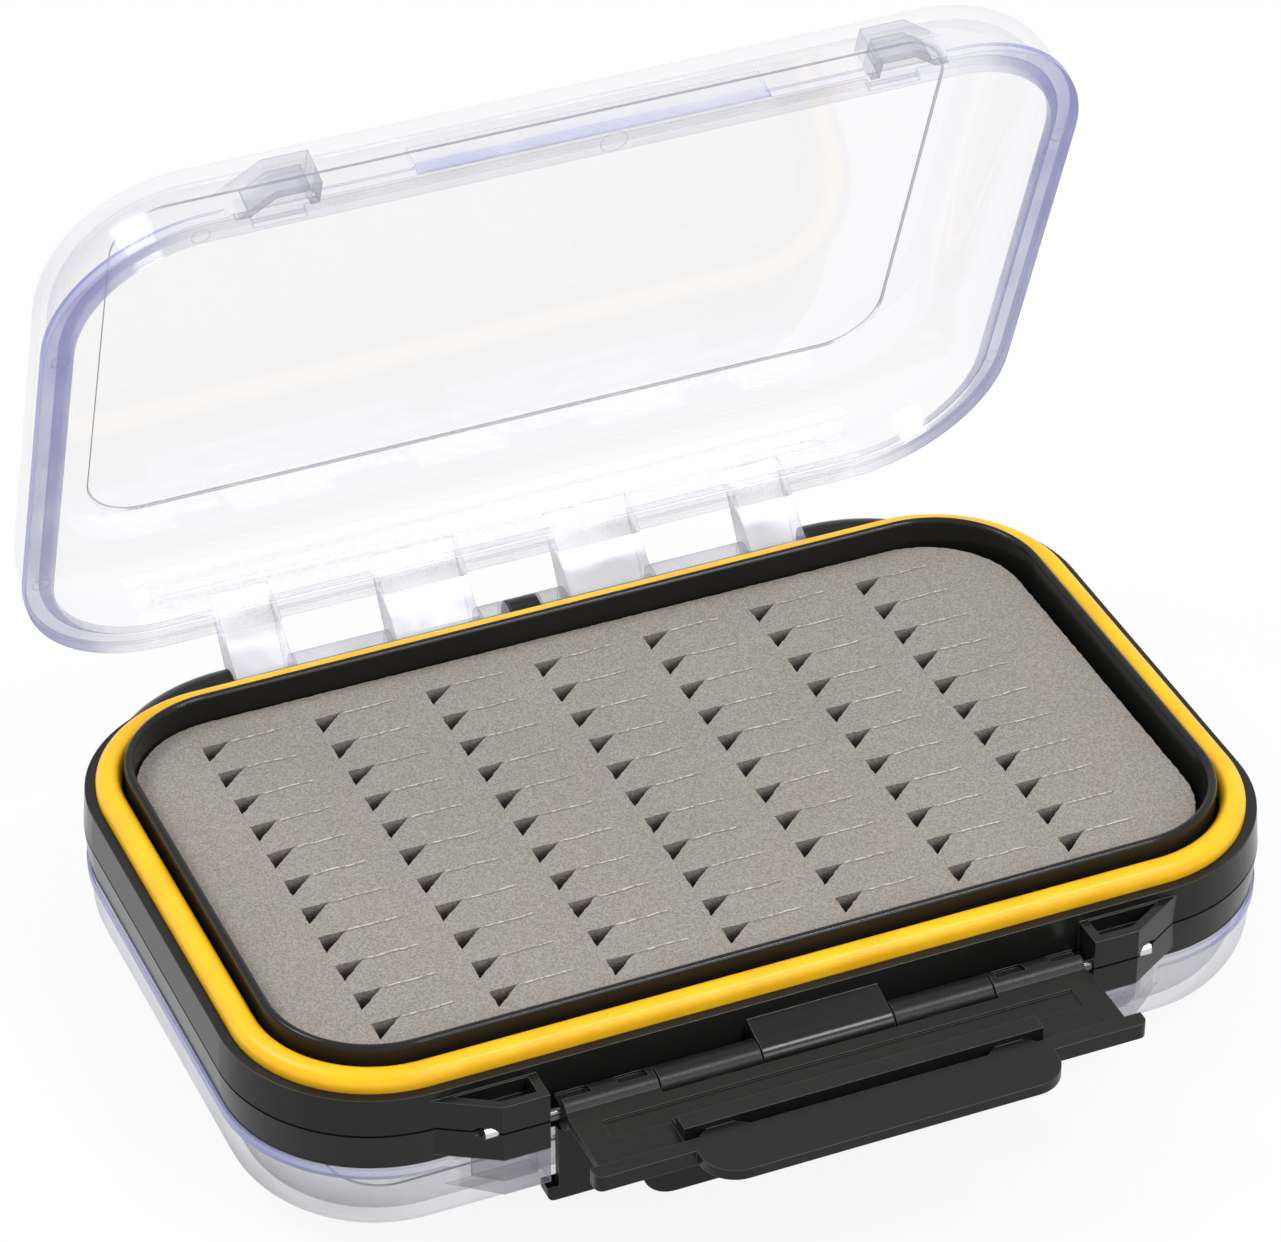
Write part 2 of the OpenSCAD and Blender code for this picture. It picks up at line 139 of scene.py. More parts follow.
class NodeBook:
    """Writes a node tree: settings first, then values or links."""

    def __init__(self, tree: bpy.types.NodeTree) -> None:
        """Keeps the tree that is written."""
        self.tree = tree

    def node(self, kind: str, settings: dict[str, Any] | None = None,
             inputs: dict[Any, Any] | None = None, output: int | str = 0) -> Signal:
        """Adds one node.

        Args:
            kind: The node's type.
            settings: Attributes set first; "stops" holds a colour ramp's (place, grey) pairs.
            inputs: Values, signals or lists of signals by socket name or number.
            output: Which output is wanted.

        Returns:
            The chosen output.
        """
        made = self.tree.nodes.new(kind)
        for name, value in (settings or {}).items():
            if name == "stops":
                self._set_stops(made.color_ramp, value)
            else:
                setattr(made, name, value)
        for key, value in (inputs or {}).items():
            self.feed(made.inputs[key], value)
        return Signal(self, made.outputs[output])

    def feed(self, socket: bpy.types.NodeSocket, value: Any) -> None:
        """Links a signal, or each of a list of signals, to a socket, or sets the socket's value."""
        if isinstance(value, Signal):
            self.tree.links.new(value.socket, socket)
        elif isinstance(value, list):
            for one in value:
                self.feed(socket, one)
        else:
            socket.default_value = value

    @staticmethod
    def _set_stops(ramp: bpy.types.ColorRamp, stops: Sequence[tuple[float, float]]) -> None:
        """Gives a ramp its grey stops."""
        while len(ramp.elements) < len(stops):
            ramp.elements.new(0.5)
        for element, (place, grey) in zip(ramp.elements, stops):
            element.position = place
            element.color = (grey, grey, grey, 1)


class ShaderBook(NodeBook):
    """Writes one material around a Principled BSDF."""

    def __init__(self, name: str) -> None:
        """Makes the material with its shader and its output."""
        self.material = bpy.data.materials.new(name)
        self.material.use_nodes = True
        super().__init__(self.material.node_tree)
        self.tree.nodes.clear()
        self.skin = self.tree.nodes.new("ShaderNodeBsdfPrincipled")
        self.out = self.tree.nodes.new("ShaderNodeOutputMaterial")
        self.tree.links.new(self.skin.outputs[0], self.out.inputs["Surface"])
        self.place = self.node("ShaderNodeTexCoord", output="Object")

    def axes(self, place: Signal | None = None) -> tuple[Signal, Signal, Signal]:
        """A place's coordinates, or the object coordinates where none is given, in metres."""
        return tuple(self.node("ShaderNodeSeparateXYZ", None, {0: place or self.place}, k)
                     for k in range(3))

    def inset(self, x: Signal, y: Signal, half_x: float, half_y: float, radius: float) -> Signal:
        """How far a place lies inside a rectangle with rounded corners.

        Args:
            x: First coordinate.
            y: Second coordinate.
            half_x: Half the rectangle's length.
            half_y: Half its depth.
            radius: Its corner radius.

        Returns:
            The distance to the outline, above 0 inside.
        """
        over_x = abs(x) - (half_x - radius)
        over_y = abs(y) - (half_y - radius)
        corner = (over_x.math("MAXIMUM", 0).math("POWER", 2)
                  + over_y.math("MAXIMUM", 0).math("POWER", 2)).math("SQRT")
        return radius - corner - over_x.math("MAXIMUM", over_y).math("MINIMUM", 0)

    def edges(self, radius: float, samples: int) -> tuple[Signal, Signal]:
        """Finds the edges of a shape.

        Args:
            radius: Radius to which the edges look rounded.
            samples: Number of rays that look for the neighbouring faces.

        Returns:
            The rounded normal, and its agreement with the flat one, which is 1 away from edges.
        """
        soft = self.node("ShaderNodeBevel", {"samples": samples}, {"Radius": radius})
        flat = self.node("ShaderNodeNewGeometry", output="Normal")
        return soft, self.node("ShaderNodeVectorMath", {"operation": "DOT_PRODUCT"},
                               {0: soft, 1: flat}, 1)

    def cover(self, share: Signal, colour: Colour) -> None:
        """Lays a dull colour over the finished surface where share is 1."""
        self.blend(1 - share, self.node("ShaderNodeBsdfDiffuse", None, {"Color": (*colour, 1)}))

    def blend(self, share: Signal, other: Signal) -> None:
        """Shows the finished surface only by a share, and another shader for the rest."""
        mixed = self.node("ShaderNodeMixShader", None,
                          {0: share, 1: other, 2: Signal(self, self.skin.outputs[0])})
        self.tree.links.new(mixed.socket, self.out.inputs["Surface"])

    def noise(self, grain: float, detail: float = 2.0, stretch: Point = (1, 1, 1)) -> Signal:
        """Noise with the given grain.

        Args:
            grain: Size of a grain in metres.
            detail: Number of finer layers.
            stretch: How much faster it changes along each axis.

        Returns:
            A value around 0.5.
        """
        place = self.place
        if stretch != (1, 1, 1):
            place = self.node("ShaderNodeMapping", None, {"Vector": place, "Scale": stretch})
        return self.node("ShaderNodeTexNoise", None,
                         {"Vector": place, "Scale": 1 / grain, "Detail": detail}, "Fac")

    def mix(self, share: Any, low: Any, high: Any) -> Signal:
        """A colour between two colours."""
        tints = [c if isinstance(c, Signal) else (*c, 1) for c in (low, high)]
        return self.node("ShaderNodeMix", {"data_type": "RGBA"},
                         {0: share, 6: tints[0], 7: tints[1]}, 2)

    def bump(self, height: Signal, depth: float, normal: Signal | None = None) -> Signal:
        """A normal bent by a height from 0 to 1 that stands for a depth in metres."""
        inputs = {"Height": height, "Distance": depth, "Strength": 1.0}
        if normal is not None:
            inputs["Normal"] = normal
        return self.node("ShaderNodeBump", None, inputs)

    def finish(self, **sockets: Any) -> bpy.types.Material:
        """Sets the shader's sockets, with underscores for spaces, and hands the material over."""
        for name, value in sockets.items():
            self.feed(self.skin.inputs[name.replace("_", " ")], value)
        return self.material


# ---- finishes ----


@dataclass(frozen=True)
class BlackPlastic:
    """Moulded black plastic with a fine skin, soft edges lit by a painted highlight, slightly uneven
    gloss and, where a height is given, a painted shade line along its parting line.
    """

    name: str
    colour: Colour
    shine: float
    roughness: float
    grain: float
    depth: float
    edge: float = 0.22 * MM
    edge_rays: int = 6
    seam_height: float | None = None
    seam_half: float = 0.17 * MM
    seam_shade_colour: Colour = (0.004, 0.004, 0.004)

    def build(self) -> bpy.types.Material:
        """Writes the material."""
        book = ShaderBook(self.name)
        cloud = book.noise(18 * MM, 3)
        skin = book.noise(self.grain, 2)
        soft, agreement = book.edges(self.edge, self.edge_rays)
        # Painted highlight: the edges found by the rounded normal are lightened towards a brighter
        # colour.
        edge_glint = agreement.fade(0.995, 0.85)
        glint_colour = tuple(8.0 * c + 0.06 for c in self.colour)
        book.finish(
            Base_Color=book.mix(edge_glint * 0.6 + cloud * 0.06, self.colour, glint_colour),
            Roughness=cloud * 0.1 + skin * 0.06 + (self.roughness - 0.08),
            Normal=book.bump(skin, self.depth, soft),
            Specular_IOR_Level=self.shine, IOR=1.5)
        # Painted shade: a dull near-black line is laid along the parting line.
        if self.seam_height is not None:
            off_seam = abs(book.axes()[2] - self.seam_height)
            book.cover(off_seam.fade(1.3 * self.seam_half, 0.7 * self.seam_half), self.seam_shade_colour)
        return book.material


@dataclass(frozen=True)
class ClearPlastic:
    """Clear polycarbonate, violet in its thick flange, with the fine marks of its mould; painted
    shade greys its edges, walls, panel step and catch bar, a painted reflection lies at one corner,
    and the violet is painted stronger where the view runs through more plastic.

    Its patterns are drawn in the place that the lid has when it is shut.
    """

    name: str
    box: "BoxSizes"
    turn_to_shut: float
    grey_shade: float
    clear: Colour = (0.982, 0.982, 0.988)
    sheen: Colour = (0.82, 0.82, 0.87)
    violet: Colour = (0.3, 0.31, 0.6)
    line: Colour = (0.3, 0.3, 0.34)
    flange_width: float = 4.3 * MM
    flange_top: float = 7.6 * MM
    panel_inset: float = 14.5 * MM
    panel_radius: float = 9.0 * MM
    catch_half: float = 26.0 * MM
    horn_span: tuple[float, float] = (40 * MM, 52 * MM)
    front_wall: tuple[float, float] = (-48.7 * MM, -49.0 * MM)
    arm_root: tuple[float, float] = (49.5 * MM, 51 * MM)
    panel_face: tuple[float, float] = (19.5 * MM, 20.1 * MM)
    violet_sides: tuple[float, float] = (55 * MM, 74 * MM)
    violet_front: tuple[float, float] = (20 * MM, -30 * MM)
    ring_half: float = 0.12 * MM
    edge: float = 0.35 * MM
    edge_rays: int = 4
    ejectors: tuple[Point, ...] = (
        (-74.9 * MM, -25.5 * MM, 1.3 * MM), (-74.9 * MM, 25.5 * MM, 1.3 * MM),
        (74.9 * MM, -25.5 * MM, 1.3 * MM), (74.9 * MM, 25.5 * MM, 1.3 * MM),
        (-56.5 * MM, -45.9 * MM, 1.3 * MM), (2.9 * MM, -46.7 * MM, 2.0 * MM))

    def _violet_share(self, book: ShaderBook, place: tuple[Signal, Signal, Signal],
                      cloud: Signal, front: Signal) -> Signal:
        """How violet the flange and the catch bar look: the plastic's tint, painted stronger where
        the view runs through more of it, and painted shade along the catch bar.

        Args:
            book: The material's book.
            place: Coordinates along and across the lid, and the height from its middle plane.
            cloud: Soft unevenness from 0 to 1.
            front: 1 on what stands out in front of the lid's wall.

        Returns:
            The share, strongest at the ends of the box and towards the latches.
        """
        x, y, height = place
        box = self.box
        edge = book.inset(x, y, box.half_x, box.half_y, box.corner)
        # Painted shade: the violet is made stronger towards the ends and towards the latches, where
        # the view runs through more plastic.
        sides = abs(x).fade(*self.violet_sides) * 0.36 + 0.07
        sides = sides * (y.fade(*self.violet_front) * 0.6 + 1)
        low = height.fade(self.flange_top + 0.3 * MM, self.flange_top)
        flange = edge.fade(self.flange_width + 0.3 * MM, self.flange_width - 0.3 * MM) * low
        # Painted shade: violet along the catch bar, strongest near the flange and fading away from
        # it.
        catch = abs(x).fade(self.catch_half + 0.4 * MM, self.catch_half - 0.4 * MM) * front
        catch = catch * height.fade(10 * MM, 6.2 * MM)
        return (flange * sides * (cloud.fade(0.3, 0.7) * 0.4 + 0.8)
                + catch * (cloud.fade(0.35, 0.65) * 0.25 + 0.2))

    def _mark_share(self, book: ShaderBook, place: tuple[Signal, Signal, Signal],
                    outside: Signal) -> Signal:
        """The painted shade line along the step round the raised panel, and the rings of the ejector
        pins on the flange.
        """
        x, y, height = place
        box = self.box
        panel = book.inset(x, y, box.half_x - self.panel_inset, box.half_y - self.panel_inset,
                           self.panel_radius)
        sole = height.fade(box.flange + 0.5 * MM, box.flange + 0.2 * MM)
        # Painted shade: a thin grey line along the step of the raised panel, on its outer face only.
        marks = abs(panel).fade(0.24 * MM, 0.08 * MM) * outside * 0.55
        for pin_x, pin_y, radius in self.ejectors:
            off_pin = ((x - pin_x).math("POWER", 2) + (y - pin_y).math("POWER", 2)).math("SQRT")
            ring = abs(off_pin - radius).fade(1.5 * self.ring_half, 0.5 * self.ring_half)
            marks = marks + ring * sole * 0.16
        return marks

    def build(self) -> bpy.types.Material:
        """Writes the material: a clear film that mirrors more the flatter it is looked at."""
        book = ShaderBook(self.name)
        box = self.box
        shut = book.node("ShaderNodeVectorRotate", {"rotation_type": "X_AXIS"}, {
            "Vector": book.place, "Center": (0, box.hinge_y, box.mid), "Angle": self.turn_to_shut})
        x, y, z = book.axes(shut)
        height = abs(z - box.mid)
        place = (x, y, height)
        cloud = book.noise(12 * MM, 2)
        uneven = cloud.fade(0.3, 0.7)
        front = y.fade(*self.front_wall)
        horns = abs(x).between(*self.horn_span, 0.5 * MM) * front
        arms = y.fade(*self.arm_root)
        outside = height.fade(*self.panel_face)
        violet = self._violet_share(book, place, cloud, front)
        marks = self._mark_share(book, place, outside)
        agreement = book.edges(self.edge, self.edge_rays)[1]
        # Painted shade: the edges are greyed, more on the arms and the horns.
        edge_shade_and_highlight = agreement.fade(0.98, 0.8) * (arms * 0.25 + horns * 0.15 + 0.32)
        # Painted reflection: a faint grey at the left front corner stands for dark surroundings
        # mirrored there.
        corner_reflection = (x.fade(-50 * MM, -68 * MM) * y.fade(-14 * MM, -34 * MM)
                 * height.between(10.5 * MM, 16 * MM, 2.5 * MM))
        # Painted shade: grey laid on the lid's walls above the flange, by the lid's own amount, and
        # on the arms and the horns.
        grey_shade = (height.fade(box.flange, 9 * MM) * (uneven * 0.3 + 0.85) * self.grey_shade
                + arms * (uneven * 0.1 + 0.12) + horns * 0.15 + corner_reflection * 0.13)
        stipple = (y.fade(40 * MM, 43 * MM) * height.between(9 * MM, 15 * MM, 1 * MM)
                   * abs(x).fade(60 * MM, 50 * MM) * book.noise(0.8 * MM, 1).fade(0.45, 0.6))
        facing = book.node("ShaderNodeLayerWeight", None, {"Blend": 0.5}, "Facing")
        gloss = (facing.math("POWER", 4) * 0.75 + 0.032) * (1 - outside * 0.7)
        share = gloss + violet + marks + edge_shade_and_highlight + grey_shade + stipple * 0.16
        painted = (violet * 3 + marks * 3 + edge_shade_and_highlight * 2 + grey_shade * 4).math("MINIMUM", 1.0)
        greyed = (marks * 4 + edge_shade_and_highlight * 1.5 + grey_shade * 5).math("MINIMUM", 1.0)
        hue = book.mix(greyed, self.violet, self.line)
        book.finish(Base_Color=book.mix(painted, self.sheen, hue), Metallic=1 - painted,
                    Roughness=painted * 0.3 + 0.04, IOR=1.5)
        film = book.node("ShaderNodeBsdfTransparent", None, {"Color": (*self.clear, 1)})
        book.blend(share.math("MINIMUM", 0.95), film)
        return book.material


@dataclass(frozen=True)
class SealRubber:
    """Satin silicone, evenly coloured, with a faint moulding skin."""

    name: str
    colour: Colour
    shade: Colour

    def build(self) -> bpy.types.Material:
        """Writes the material."""
        book = ShaderBook(self.name)
        cloud = book.noise(9 * MM, 2)
        skin = book.noise(0.6 * MM, 2)
        return book.finish(
            Base_Color=book.mix(cloud.fade(0.3, 0.7), self.shade, self.colour),
            Roughness=cloud * 0.12 + 0.3, Normal=book.bump(skin, 0.01 * MM),
            Specular_IOR_Level=0.35,
            Subsurface_Weight=0.15, Subsurface_Radius=(2 * MM, 1 * MM, 0.3 * MM),
            Subsurface_Scale=0.5)


@dataclass(frozen=True)
class CellFoam:
    """Closed-cell foam with fine cells, with painted shade in its cuts, and with the lines of its
    slits drawn as a painted highlight on each lip and painted shade beside it.
    """

    name: str
    colour: Colour
    pale: Colour
    pattern: "SlotPattern"
    box: "BoxSizes"
    slit_wander: float = 0.7 * MM
    groove_side: float = 0.14 * MM
    ridge_side: float = 0.13 * MM

    def _slit_lines(self, book: ShaderBook, x: Signal, y: Signal) -> tuple[Signal, Signal]:
        """Draws the slits that run on from the notches.

        Args:
            book: The material's book.
            x: Coordinate along the box.
            y: Coordinate across it.

        Returns:
            The painted highlight on the lip of each slit, and the painted shade in the cut beside
            it.
        """
        cut = self.pattern
        start_x, start_y = cut.start
        half_pitch = cut.row_pitch / 2
        along = (x - start_x).wrap(cut.column_pitch)
        across = (y - start_y + half_pitch).wrap(cut.row_pitch) - half_pitch
        columns = x.between(start_x, start_x + cut.columns * cut.column_pitch, 0.01 * MM)
        rows = y.between(start_y - half_pitch, start_y + (cut.rows - 0.5) * cut.row_pitch, 0.01 * MM)
        run = along.between(cut.notch_length + 0.6 * MM, cut.slot_length, 0.4 * MM) * columns * rows
        offset = across + (book.noise(3 * MM, 1) - 0.5) * self.slit_wander
        return (abs(offset - self.ridge_side).fade(0.24 * MM, 0.07 * MM) * run,
                abs(offset + self.groove_side).fade(0.18 * MM, 0.07 * MM) * run)

    def build(self) -> bpy.types.Material:
        """Writes the material."""
        book = ShaderBook(self.name)
        x, y, z = book.axes()
        # Painted shade: the foam darkens with depth below its top face, in the notches and down its
        # sides.
        below = abs(abs(z - self.box.mid) - self.box.ledge)
        edge_shade_and_highlight, groove = self._slit_lines(book, x, y)
        grain = book.noise(0.3 * MM, 3) * 0.7 + book.noise(0.14 * MM, 1) * 0.3
        tone = grain.fade(0.3, 0.7) * 0.85 + book.noise(20 * MM, 2) * 0.15
        broken = book.noise(0.8 * MM, 2).fade(0.44, 0.56)
        dark, light, notch_shade_colour = (tuple(c * share for c in self.colour) for share in (0.62, 1.38, 0.12))
        # Painted highlight on the lip of each slit in the pale colour, and painted shade in the cut
        # beside it.
        skin = book.mix(edge_shade_and_highlight * (broken * 0.8 + 0.2), book.mix(tone, dark, light), self.pale)
        skin = book.mix(groove * 0.45, skin, dark)
        return book.finish(
            Base_Color=book.mix(below.fade(0.1 * MM, 2.4 * MM), skin, notch_shade_colour), Roughness=0.95,
            Normal=book.bump(grain + edge_shade_and_highlight * 0.5 - groove * 0.8, 0.22 * MM),
            Specular_IOR_Level=0.2, Sheen_Weight=0.15, Sheen_Roughness=0.6)


@dataclass(frozen=True)
class PlainFilm:
    """Matt white adhesive film with a faint grain."""

    name: str
    colour: Colour

    def build(self) -> bpy.types.Material:
        """Writes the material."""
        book = ShaderBook(self.name)
        grain = book.noise(2 * MM, 3)
        darker = tuple(c * 0.85 for c in self.colour)
        return book.finish(Base_Color=book.mix(grain, darker, self.colour),
                           Roughness=grain * 0.2 + 0.5)


@dataclass(frozen=True)
class DrawnSteel:
    """Steel wire with fine lines along its length, bright at its ends and darkened between them by
    painted shade.
    """

    name: str
    colour: Colour
    bright_from: float = 41 * MM
    bright_full: float = 42 * MM

    def build(self) -> bpy.types.Material:
        """Writes the material."""
        book = ShaderBook(self.name)
        lines = book.noise(0.4 * MM, 3, (0.04, 1, 1))
        # Painted shade: the wire is darkened between its ends, where it runs between the knuckles.
        ends = abs(book.axes()[0]).fade(self.bright_from, self.bright_full)
        dull = tuple(c * 0.15 for c in self.colour)
        return book.finish(Base_Color=book.mix(ends, dull, self.colour), Metallic=1.0,
                           Roughness=lines * 0.25 + 0.15, Normal=book.bump(lines, 0.01 * MM))


def dress(piece: bpy.types.Object, material: bpy.types.Material) -> None:
    """Gives every material slot of a piece the same material, and a slot where it has none."""
    if not piece.material_slots:
        piece.data.materials.append(material)
    for slot in piece.material_slots:
        slot.material = material


# ---- geometry trees ----


class ShapeTree(NodeBook):
    """A geometry node tree with named inputs that ends in one plain mesh."""

    def __init__(self, name: str, sockets: dict[str, tuple[str, Any]]) -> None:
        """Makes the tree and its group input.

        Args:
            name: The tree's name.
            sockets: Socket type and value of each named input.
        """
        super().__init__(bpy.data.node_groups.new(name, "GeometryNodeTree"))
        face = self.tree.interface
        face.new_socket("Geometry", in_out="INPUT", socket_type="NodeSocketGeometry")
        self.ids = {}
        self.values = {}
        for title, (kind, value) in sockets.items():
            self.ids[title] = face.new_socket(title, in_out="INPUT", socket_type=kind).identifier
            self.values[title] = value
        face.new_socket("Geometry", in_out="OUTPUT", socket_type="NodeSocketGeometry")
        self.source = self.tree.nodes.new("NodeGroupInput")
        self.sink = self.tree.nodes.new("NodeGroupOutput")

    def given(self, title: str) -> Signal:
        """One of the named inputs, or the incoming geometry under the name Geometry."""
        return Signal(self, self.source.outputs[title])

    def close(self, shape: Signal, material: bpy.types.Material) -> None:
        """Ends the tree: instances become mesh and take the material."""
        real = self.node("GeometryNodeRealizeInstances", None, {0: shape})
        coated = self.node("GeometryNodeSetMaterial", None, {"Geometry": real, "Material": material})
        self.tree.links.new(coated.socket, self.sink.inputs[0])

    def make(self, name: str, base: bpy.types.Mesh | None = None) -> bpy.types.Object:
        """Runs the tree on a mesh and keeps the result as a plain object.

        Args:
            name: The piece's name.
            base: The mesh that the tree starts from, or none.

        Returns:
            The finished piece, without modifiers.
        """
        carrier = bpy.data.objects.new(name + "_base", base or bpy.data.meshes.new(name + "_base"))
        bpy.context.scene.collection.objects.link(carrier)
        modifier = carrier.modifiers.new("shape", "NODES")
        modifier.node_group = self.tree
        for title, value in self.values.items():
            modifier[self.ids[title]] = value
        depsgraph = bpy.context.evaluated_depsgraph_get()
        mesh = bpy.data.meshes.new_from_object(carrier.evaluated_get(depsgraph))
        bpy.data.objects.remove(carrier)
        mesh.name = name
        return add_object(name, mesh)


def add_object(name: str, mesh: bpy.types.Mesh) -> bpy.types.Object:
    """Links a mesh to the scene as an object at the origin."""
    piece = bpy.data.objects.new(name, mesh)
    bpy.context.scene.collection.objects.link(piece)
    return piece


def face_outwards(mesh: bpy.types.Mesh) -> None:
    """Turns every face of a closed mesh outwards."""
    work = bmesh.new()
    work.from_mesh(mesh)
    bmesh.ops.recalc_face_normals(work, faces=work.faces)
    work.to_mesh(mesh)
    work.free()


# ---- the pieces ----


class Side(Enum):
    """Which face of the box a piece belongs to; the value is the direction of its height."""

    UPPER = 1
    LOWER = -1


@dataclass(frozen=True)
class BoxSizes:
    """Sizes shared by the pieces, in metres, from the middle plane of the frame."""

    mid: float = 21.3 * MM
    half_x: float = 77.4 * MM
    half_y: float = 48.8 * MM
    corner: float = 22.6 * MM
    ledge: float = 5.8 * MM
    flange: float = 6.0 * MM
    rim_in: float = 7.55 * MM
    hinge_y: float = 54.8 * MM


@dataclass(frozen=True)
class SlotPattern:
    """The die's pattern: notches in columns and rows, each with a slit to its right."""

    columns: int = 7
    rows: int = 11
    column_pitch: float = 17.14 * MM
    row_pitch: float = 6.72 * MM
    slot_length: float = 12.0 * MM
    notch_length: float = 3.9 * MM
    notch_width: float = 3.4 * MM
    depth: float = 3.2 * MM

    @property
    def start(self) -> tuple[float, float]:
        """Corner of the first notch, on its slit's line."""
        return (-(self.columns - 1) / 2 * self.column_pitch - self.slot_length / 2,
                -(self.rows - 1) / 2 * self.row_pitch + self.notch_width / 2)


@dataclass
class Seal:
    """A gasket that lies in the groove of one side of the frame."""

    side: Side
    finish: bpy.types.Material
    box: BoxSizes = field(default_factory=BoxSizes)
    inset: float = 3.9 * MM
    width: float = 3.7 * MM
    floor: float = 3.45 * MM
    free_top: float = 8.3 * MM
    pressed_top: float = 5.95 * MM
    free_round: float = 1.8 * MM
    pressed_round: float = 1.15 * MM

    def build(self) -> bpy.types.Object:
        """Sweeps the section round the frame.

        Returns:
            The seal, free and round on the open side, pressed flat under the shut lid.
        """
        free = self.side is Side.UPPER
        top = self.free_top if free else self.pressed_top
        tree = ShapeTree(f"{self.side.name.lower()}_seal_run", {
            "Length": ("NodeSocketFloat", 2 * (self.box.half_x - self.inset)),
            "Depth": ("NodeSocketFloat", 2 * (self.box.half_y - self.inset)),
            "Corner": ("NodeSocketFloat", self.box.corner - self.inset),
            "Width": ("NodeSocketFloat", self.width),
            "Height": ("NodeSocketFloat", top - self.floor),
            "Round": ("NodeSocketFloat", self.free_round if free else self.pressed_round),
            "Level": ("NodeSocketFloat", self.box.mid + self.side.value * (top + self.floor) / 2),
        })
        path = tree.node("GeometryNodeCurvePrimitiveQuadrilateral", None,
                         {"Width": tree.given("Length"), "Height": tree.given("Depth")})
        path = self._fillet(tree, path, tree.given("Corner"), 24)
        section = tree.node("GeometryNodeCurvePrimitiveQuadrilateral", None,
                            {"Width": tree.given("Width"), "Height": tree.given("Height")})
        section = self._fillet(tree, section, tree.given("Round"), 9)
        swept = tree.node("GeometryNodeCurveToMesh", None, {"Curve": path, "Profile Curve": section})
        level = tree.node("ShaderNodeCombineXYZ", None, {2: tree.given("Level")})
        lifted = tree.node("GeometryNodeTransform", None, {"Geometry": swept, "Translation": level})
        smooth = tree.node("GeometryNodeSetShadeSmooth", None, {"Geometry": lifted})
        tree.close(smooth, self.finish)
        node = f"{self.side.name.lower()}_seal"
        piece = tree.make(node + "_bead")
        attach(piece, "frame")
        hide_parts(node)
        if free:
            self.box.mid + self.floor
            (self.pressed_top - self.floor) / (self.free_top - self.floor)
            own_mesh(piece)
        return piece

    @staticmethod
    def _fillet(tree: ShapeTree, curve: Signal, radius: Signal, count: int) -> Signal:
        """Rounds the corners of a polygon curve."""
        return tree.node("GeometryNodeFilletCurve", {"mode": "POLY"},
                         {"Curve": curve, "Radius": radius, "Count": count})


